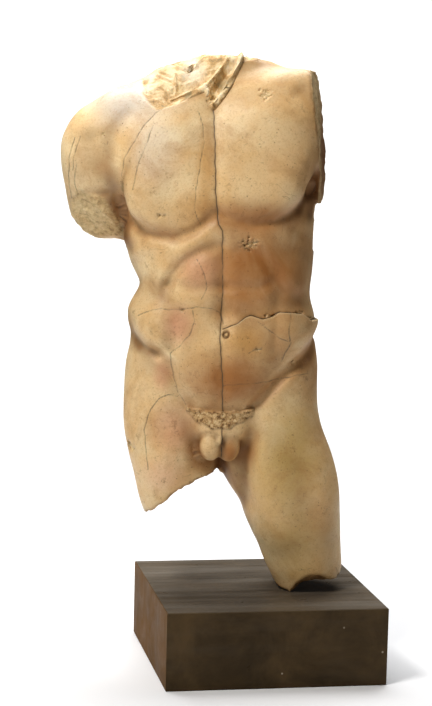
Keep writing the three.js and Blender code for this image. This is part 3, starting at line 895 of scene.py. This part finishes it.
marbleFinish = {
    "cream": (0.81, 0.65, 0.40),
    # pale is also a painted highlight on the lit right shoulder and breast
    "pale": (0.82, 0.79, 0.69),
    "chalk": (0.61, 0.58, 0.51),
    "peach": (0.74, 0.51, 0.26),
    "orange": (0.64, 0.35, 0.11),
    # a dark orange for painted shade on the shaded parts of the marble
    "amberShade": (0.38, 0.165, 0.05),
    "olive": (0.44, 0.31, 0.095),
    "pink": (0.68, 0.36, 0.23),
    "brown": (0.22, 0.11, 0.045),
    # a brown for painted shade under overhangs and in patches, also used for dirt and grain
    "shade": (0.36, 0.17, 0.06),
    # a near black brown for painted shade in folds, the armpit and under the testicles
    "deep": (0.15, 0.07, 0.025),
    "crack": (0.10, 0.085, 0.055),
    "pit": (0.13, 0.07, 0.03),
    "fresh": (0.74, 0.66, 0.52),
    "rust": (0.52, 0.33, 0.15),
    "sand": (0.50, 0.37, 0.18),
    "moss": (0.28, 0.22, 0.12),
    "roughness": 0.46,
    "specular": 0.28,
    "subsurface": 0.06,
    "bumpStrength": 0.7,
    "bumpDistance": 0.0018,
}
# Place, half sizes in millimetres, colour and strength of each patch: some are stains in the marble, many
# are painted light and shade, as marked below.
tintsAndPaintedLight = [
    # painted highlight: pale over the lit top of the right shoulder and the upper right breast, toned
    # greyer by chalk over the shoulder
    ((-150, 0, 890), (120, 140, 70), "pale", 0.95),
    ((-235, -20, 800), (60, 110, 130), "cream", 0.6),
    ((-120, -100, 800), (60, 90, 90), "pale", 0.55),
    ((-185, -10, 868), (80, 120, 66), "chalk", 0.8),
    # painted shade around the right armpit and down the right side of the ribs
    ((-212, -40, 775), (34, 60, 45), "shade", 0.55),
    ((-190, -30, 700), (38, 60, 28), "deep", 0.8),
    ((-200, -45, 740), (20, 60, 55), "deep", 0.5),
    ((-165, -20, 745), (40, 100, 80), "shade", 0.6),
    # painted shade: orange and amber under the breasts, and every amber patch below, on the belly, the left
    # flank, hip and thigh and the left testicle
    ((-60, -100, 690), (90, 90, 50), "orange", 0.5),
    ((-30, -100, 780), (24, 60, 110), "orange", 0.6),
    ((-100, -100, 655), (80, 90, 24), "amberShade", 0.5),
    ((60, -100, 688), (150, 90, 46), "amberShade", 0.95),
    ((80, -100, 760), (120, 90, 70), "peach", 0.7),
    ((90, -100, 845), (100, 90, 60), "cream", 0.7),
    ((130, -60, 880), (80, 90, 60), "orange", 0.4),
    ((150, -40, 760), (50, 120, 140), "amberShade", 0.35),
    ((60, -100, 590), (160, 110, 130), "amberShade", 1.0),
    ((-40, -90, 590), (60, 80, 50), "pink", 0.6),
    ((150, -60, 600), (70, 130, 150), "amberShade", 0.8),
    ((-75, -90, 490), (40, 80, 50), "pink", 0.8),
    ((50, -100, 465), (60, 80, 40), "orange", 0.7),
    ((100, -70, 470), (60, 90, 60), "amberShade", 0.55),
    ((20, -100, 395), (150, 100, 80), "amberShade", 0.95),
    ((-100, -80, 400), (24, 80, 40), "pink", 0.8),
    ((-80, -80, 300), (60, 80, 70), "pink", 0.6),
    ((-95, -80, 220), (60, 80, 50), "pink", 0.5),
    ((22, -84, 262), (26, 60, 34), "amberShade", 1.0),
    ((90, -80, 190), (90, 90, 150), "olive", 0.35),
    ((135, -80, 260), (85, 90, 150), "olive", 0.65),
    ((150, -60, 90), (90, 110, 110), "olive", 0.6),
    ((185, -20, 120), (50, 110, 130), "amberShade", 0.5),
    # painted light: cream on the lit right flank and hip
    ((-150, 0, 440), (60, 110, 90), "cream", 0.6),
    ((-140, 0, 350), (50, 110, 80), "cream", 0.4),
    ((160, 0, 420), (70, 130, 110), "amberShade", 0.7),
    # painted shade under the testicles
    ((14, -60, 212), (18, 60, 45), "deep", 1.0),
    ((116, -82, 6), (8, 10, 9), "pale", 1.6),
]
neckStains = [
    ((-60, -20, 940), (34, 60, 40), "fresh", 0.8),
    ((-5, -50, 925), (22, 50, 34), "moss", 0.6),
    ((-122, -10, 930), (30, 50, 30), "rust", 0.45),
]
leftArmShade = ((190, 10, 800), (40, 160, 170))


def marbleMaterial():
    material, tree, shader = newMaterial("weatheredMarble")
    look = marbleFinish
    place = addNode(tree, "ShaderNodeTexCoord").outputs["Object"]

    def mark(name):
        return addNode(tree, "ShaderNodeAttribute", attribute_name=name).outputs["Fac"]

    cloud = addNoise(tree, place, 6.0, 5, 0.6, 0.2)
    colour = addRamp(tree, cloud, [(0.36, look["cream"]), (0.52, look["peach"]), (0.68, look["cream"])])
    wobble = addNoise(tree, place, 9.0, 4, 0.6, 0.8)
    for centre, size, tint, strength in tintsAndPaintedLight:
        uneven = addRange(tree, wobble, 0.3, 0.6, 0.5, 1.0)
        patch = product(tree, addPatch(tree, place, centre, size), uneven)
        colour = addMix(tree, product(tree, patch, strength, True), colour, look[tint])

    # painted shade: folds and undersides are darkened brown
    colour = addMix(tree, product(tree, mark("underside"), 0.9, True), colour, look["shade"])
    colour = addMix(tree, product(tree, mark("fold"), 1.5, True), colour, look["deep"])

    # broad dirt, brown freckles and small dark pits
    dirt = addRange(tree, addNoise(tree, place, 14, 6, 0.7, 0.5), 0.50, 0.76, 0, 0.55)
    colour = addMix(tree, dirt, colour, look["shade"])
    grain = addRange(tree, addNoise(tree, place, 300, 5, 0.75), 0.5, 0.72, 0, 0.4)
    colour = addMix(tree, grain, colour, look["shade"])
    freckles = addRange(tree, addNoise(tree, place, 55, 6, 0.75), 0.60, 0.74, 0, 0.6)
    colour = addMix(tree, freckles, colour, look["brown"])
    where = addRange(tree, addNoise(tree, place, 11, 3, 0.6), 0.40, 0.62, 0.3, 1)
    pitNoise = addNoise(tree, place, 130, 6, 0.75, 0.4)
    pits = product(tree, addRange(tree, pitNoise, 0.62, 0.70, 0, 1), where)
    colour = addMix(tree, product(tree, pits, 0.85), colour, look["pit"])
    for turn, strength in (((0.2, 0.6, 0), 0.5), ((0.3, -1.1, 0.4), 0.45), ((0, 1.5, 0.2), 0.4)):
        stretch = {"Vector": place, "Scale": (45, 45, 150), "Rotation": turn}
        turnedPlace = addNode(tree, "ShaderNodeMapping", stretch).outputs[0]
        scratches = addRange(tree, addNoise(tree, turnedPlace, 1.0, 5, 0.7, 0.8), 0.66, 0.73, 0, strength)
        colour = addMix(tree, product(tree, scratches, where), colour, look["pit"])
    dots = addNode(tree, "ShaderNodeTexVoronoi", {"Vector": place, "Scale": 90.0, "Randomness": 1.0})
    specks = product(tree, addRange(tree, dots.outputs["Distance"], 0.13, 0.08, 0, 1), where)
    colour = addMix(tree, product(tree, specks, 0.45), colour, look["pit"])

    # thin veins where a stretched noise passes its middle value
    veinNoise = addNoise(tree, place, 6.5, 3, 0.55, 1.6)
    fromMiddle = addMath(tree, "ABSOLUTE", addMath(tree, "SUBTRACT", veinNoise, 0.5))
    vein = addRange(tree, fromMiddle, 0.0035, 0.0, 0, 1)
    veinPlace = addRange(tree, addNoise(tree, place, 4.0, 2, 0.5), 0.5, 0.62, 0, 0.4)
    colour = addMix(tree, product(tree, vein, veinPlace), colour, look["brown"])

    chipStops = [(0.40, look["brown"]), (0.47, look["sand"]), (0.6, look["cream"])]
    chipTint = addRamp(tree, addNoise(tree, place, 120, 4, 0.7), chipStops)
    colour = addMix(tree, product(tree, mark("chipped"), 0.8), colour, chipTint)

    # cracks
    gaps = addRange(tree, addNoise(tree, place, 40, 3, 0.6), 0.35, 0.6, 0.35, 1.0)
    fine = product(tree, addRange(tree, mark("fineCrack"), 1.6, 0.3, 0, 0.75), gaps)
    colour = addMix(tree, fine, colour, look["crack"])
    wide = addRange(tree, mark("wideCrack"), 1.4, 0.5, 0, 0.9)
    halo = addRange(tree, mark("wideCrack"), 4.0, 1.0, 0, 0.1)
    colour = addMix(tree, halo, colour, look["brown"])
    colour = addMix(tree, wide, colour, look["crack"])
    # dirt, the navel's dark ring and painted shade on the lower hair
    colour = addMix(tree, product(tree, mark("dirtAndShade"), 0.75), colour, look["pit"])
    # painted highlight on the lit edge of the loose piece
    colour = addMix(tree, product(tree, mark("rimHighlight"), 0.4), colour, look["cream"])

    # hair and broken faces
    granular = addNoise(tree, place, 150, 4, 0.7)
    hairTint = addRamp(tree, granular, [(0.38, look["pit"]), (0.5, look["rust"]), (0.66, look["cream"])])
    colour = addMix(tree, product(tree, mark("hair"), 0.85), colour, hairTint)
    neckCloud = addNoise(tree, place, 22, 5, 0.65, 0.4)
    neckStops = [(0.38, look["moss"]), (0.45, look["rust"]), (0.55, look["cream"]), (0.66, look["fresh"])]
    neckTint = addRamp(tree, neckCloud, neckStops)
    for centre, size, tint, strength in neckStains:
        patch = product(tree, addPatch(tree, place, centre, size), strength)
        neckTint = addMix(tree, patch, neckTint, look[tint])
    colour = addMix(tree, product(tree, mark("neckBreak"), 0.9), colour, neckTint)
    armStops = [(0.36, look["pit"]), (0.46, look["sand"]), (0.66, look["cream"])]
    armTint = addRamp(tree, addNoise(tree, place, 110, 6, 0.75), armStops)
    colour = addMix(tree, product(tree, mark("roughBreak"), 0.5), colour, armTint)
    shaded = product(tree, addPatch(tree, place, *leftArmShade), mark("roughBreak"))
    colour = addMix(tree, shaded, colour, look["brown"])
    legStops = [(0.38, look["brown"]), (0.62, look["rust"])]
    legTint = addRamp(tree, addNoise(tree, place, 50, 5, 0.7), legStops)
    colour = addMix(tree, product(tree, mark("legBreak"), 0.85), colour, legTint)
    tree.links.new(colour, shader.inputs["Base Color"])

    limbBreaks = addMath(tree, "MAXIMUM", mark("roughBreak"), mark("legBreak"))
    coarse = addMath(tree, "MAXIMUM", addMath(tree, "MAXIMUM", mark("neckBreak"), limbBreaks), mark("hair"))
    sheen = look["roughness"]
    polish = addRange(tree, addNoise(tree, place, 18, 4, 0.6), 0.3, 0.7, sheen - 0.08, sheen + 0.12)
    rough = addMath(tree, "MAXIMUM", polish, product(tree, coarse, 0.85))
    tree.links.new(rough, shader.inputs["Roughness"])
    shader.inputs["Specular IOR Level"].default_value = look["specular"]
    shader.inputs["Subsurface Weight"].default_value = look["subsurface"]
    shader.inputs["Subsurface Radius"].default_value = (0.012, 0.006, 0.003)

    # fine relief: pits, grain and the roughness of what is broken
    grainStrength = addMath(tree, "ADD", product(tree, coarse, 3.0), 0.35)
    grainHeight = product(tree, addNoise(tree, place, 90, 5, 0.65), grainStrength)
    height = addMath(tree, "SUBTRACT", grainHeight, product(tree, pits, 0.25))
    height = addMath(tree, "SUBTRACT", height, product(tree, specks, 0.3))
    inputs = {"Height": height, "Strength": look["bumpStrength"], "Distance": look["bumpDistance"]}
    bump = addNode(tree, "ShaderNodeBump", inputs)
    tree.links.new(bump.outputs["Normal"], shader.inputs["Normal"])
    return material


marble.data.materials.clear()
marble.data.materials.append(marbleMaterial())
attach(marble, "root")
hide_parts("torso")
print("marble finished")

plinthFinish = {
    "dark": (0.048, 0.031, 0.013),
    "warm": (0.102, 0.066, 0.029),
    "dustAndSheen": (0.190, 0.168, 0.140),
    "speck": (0.42, 0.36, 0.28),
    "leftReflection": (0.18, 0.092, 0.030),
    "streak": (0.10, 0.08, 0.06),
    "roughness": 0.34,
    "specular": 0.16,
    "smears": [((92, -62, 0), (30, 5, 8)), ((80, -40, 0), (40, 3, 8))],  # place and half sizes
}


def plinthMaterial():
    material, tree, shader = newMaterial("darkPlinthStone")
    look = plinthFinish
    place = addNode(tree, "ShaderNodeTexCoord").outputs["Object"]
    cloud = addNoise(tree, place, 9, 6, 0.65, 0.5)
    colour = addRamp(tree, cloud, [(0.35, look["dark"]), (0.68, look["warm"])])
    stretch = {"Vector": place, "Scale": (4.0, 60.0, 30.0), "Rotation": (0, 0, 0.35)}
    streaks = addNoise(tree, addNode(tree, "ShaderNodeMapping", stretch).outputs[0], 1.0, 4, 0.6)
    colour = addMix(tree, addRange(tree, streaks, 0.5, 0.75, 0, 0.3), colour, look["streak"])
    dots = addNode(tree, "ShaderNodeTexVoronoi", {"Vector": place, "Scale": 26.0, "Randomness": 1.0})
    some = addRange(tree, addNoise(tree, place, 8, 2, 0.5), 0.55, 0.6, 0, 1)
    specks = product(tree, addRange(tree, dots.outputs["Distance"], 0.06, 0.035, 0, 0.8), some)
    colour = addMix(tree, specks, colour, look["speck"])

    # a top painted lighter and greyer with dust and painted sheen, darker beside the thigh as a painted
    # reflection of it, and a left side painted warm brown as a painted reflection
    normal = addNode(tree, "ShaderNodeNewGeometry").outputs["True Normal"]
    facing = addNode(tree, "ShaderNodeSeparateXYZ", {0: normal})
    # dust and painted sheen on the top
    topStreaks = addRange(tree, streaks, 0.3, 0.7, 0.35, 0.95)
    onTop = product(tree, addRange(tree, facing.outputs["Z"], 0.5, 0.9), topStreaks)
    # painted reflection of the thigh: the top is darker beside it
    under = addPatch(tree, place, (165, -20, 0), (120, 130, 60))
    onTop = product(tree, onTop, addRange(tree, under, 0, 1, 1, 0.45))
    colour = addMix(tree, onTop, colour, look["dustAndSheen"])
    # painted warm reflection on the left side, which is also rougher
    onLeft = addRange(tree, facing.outputs["X"], -0.4, -0.9, 0, 0.85)
    leftReflection = product(tree, onLeft, addRange(tree, cloud, 0.35, 0.6, 0.7, 1))
    colour = addMix(tree, leftReflection, colour, look["leftReflection"])
    for centre, size in look["smears"]:
        uneven = addRange(tree, cloud, 0.4, 0.6, 0.2, 0.8)
        smear = product(tree, addPatch(tree, place, centre, size), uneven)
        colour = addMix(tree, smear, colour, look["speck"])
    tree.links.new(colour, shader.inputs["Base Color"])
    sheen = look["roughness"]
    handled = addRange(tree, addNoise(tree, place, 13, 5, 0.7, 1.0), 0.35, 0.7, sheen - 0.08, sheen + 0.16)
    rough = addMath(tree, "ADD", handled, addRange(tree, streaks, 0.4, 0.7, 0, 0.1))
    rough = addMath(tree, "ADD", rough, product(tree, leftReflection, 0.4))
    tree.links.new(rough, shader.inputs["Roughness"])
    shader.inputs["Specular IOR Level"].default_value = look["specular"]
    inputs = {"Height": addNoise(tree, place, 160, 4, 0.6), "Strength": 0.15, "Distance": 0.0005}
    bump = addNode(tree, "ShaderNodeBump", inputs)
    tree.links.new(bump.outputs["Normal"], shader.inputs["Normal"])
    return material


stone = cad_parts["plinth"]
stoneMaterial = plinthMaterial()
if stone.material_slots:
    stone.material_slots[0].material = stoneMaterial
else:
    stone.data.materials.append(stoneMaterial)
print("plinth finished")

studio = {
    "floorColour": (0.92, 0.93, 0.95),
    "floorShade": (0.85, 0.85, 0.85),
    "floorRadius": 2.4,
    "whiteStrength": 1.05,  # of the surround, as the camera sees it
    "fillStrength": 0.06,  # of the surround, as the piece sees it
    "cameraPlace": (-0.7455, -3.5067, 1.0194),
    "azimuth": -10.632,
    "elevation": 7.119,
    "roll": 1.396,
    "lens": 100.36,
    "sensor": 36.0,
    # name, place, target, size, power and colour of each light
    "lights": [
        ("keyLight", (-1.25, -1.05, 2.3), (-0.1, 0, 0.75), (0.6, 0.6), 36, (1.0, 0.97, 0.93)),
        ("frontFill", (0.5, -3.4, 1.3), (0, 0, 0.7), (1.4, 1.4), 5, (1.0, 0.87, 0.68)),
        ("floorLight", (0, 1.3, 3.4), (0, 1.3, 0), (3.4, 2.0), 135, (1.0, 1.0, 1.0)),
    ],
}


def makeFloor():
    deselectAll()
    bpy.ops.mesh.primitive_circle_add(vertices=128, radius=studio["floorRadius"], fill_type="NGON")
    floor = bpy.context.object
    floor.name = "paleFloor"
    material, tree, shader = newMaterial("palePaper")
    place = addNode(tree, "ShaderNodeTexCoord").outputs["Object"]
    tone = addRange(tree, addNoise(tree, place, 2.0, 2, 0.5), 0.3, 0.7, 0.97, 1.0)
    colour = addMix(tree, tone, studio["floorShade"], studio["floorColour"])
    tree.links.new(colour, shader.inputs["Base Color"])
    shader.inputs["Roughness"].default_value = 0.9
    floor.data.materials.append(material)


# A white surround to look at, that lights the piece only weakly.
def makeSurround():
    world = bpy.data.worlds.new("studioWorld")
    bpy.context.scene.world = world
    world.use_nodes = True
    tree = world.node_tree
    surround = tree.nodes["Background"]
    surround.inputs["Color"].default_value = (1, 1, 1, 1)
    seen = addNode(tree, "ShaderNodeLightPath").outputs["Is Camera Ray"]
    strength = addRange(tree, seen, 0, 1, studio["fillStrength"], studio["whiteStrength"])
    tree.links.new(strength, surround.inputs["Strength"])


def addLight(name, place, target, size, power, colour):
    light = bpy.data.lights.new(name, "AREA")
    light.shape = "RECTANGLE"
    light.size, light.size_y = size
    light.energy = power
    light.color = colour
    lamp = bpy.data.objects.new(name, light)
    bpy.context.scene.collection.objects.link(lamp)
    lamp.location = place
    lamp.rotation_euler = (Vector(target) - Vector(place)).to_track_quat("-Z", "Y").to_euler()


def makeCamera():
    azimuth, elevation, roll = (math.radians(studio[k]) for k in ("azimuth", "elevation", "roll"))
    data = bpy.data.cameras.new("studioCamera")
    data.lens = studio["lens"]
    data.sensor_width = studio["sensor"]
    camera = bpy.data.objects.new("studioCamera", data)
    bpy.context.scene.collection.objects.link(camera)
    upright = Matrix.Rotation(azimuth, 4, "Z") @ Matrix.Rotation(math.radians(90) - elevation, 4, "X")
    rolled = upright @ Matrix.Rotation(roll, 4, "Z")
    camera.matrix_world = Matrix.Translation(studio["cameraPlace"]) @ rolled
    bpy.context.scene.camera = camera


makeFloor()
makeSurround()
for light in studio["lights"]:
    addLight(*light)
makeCamera()
bpy.context.scene.view_settings.view_transform = "Standard"
bpy.context.scene.view_settings.look = "Medium High Contrast"
print("studio set")
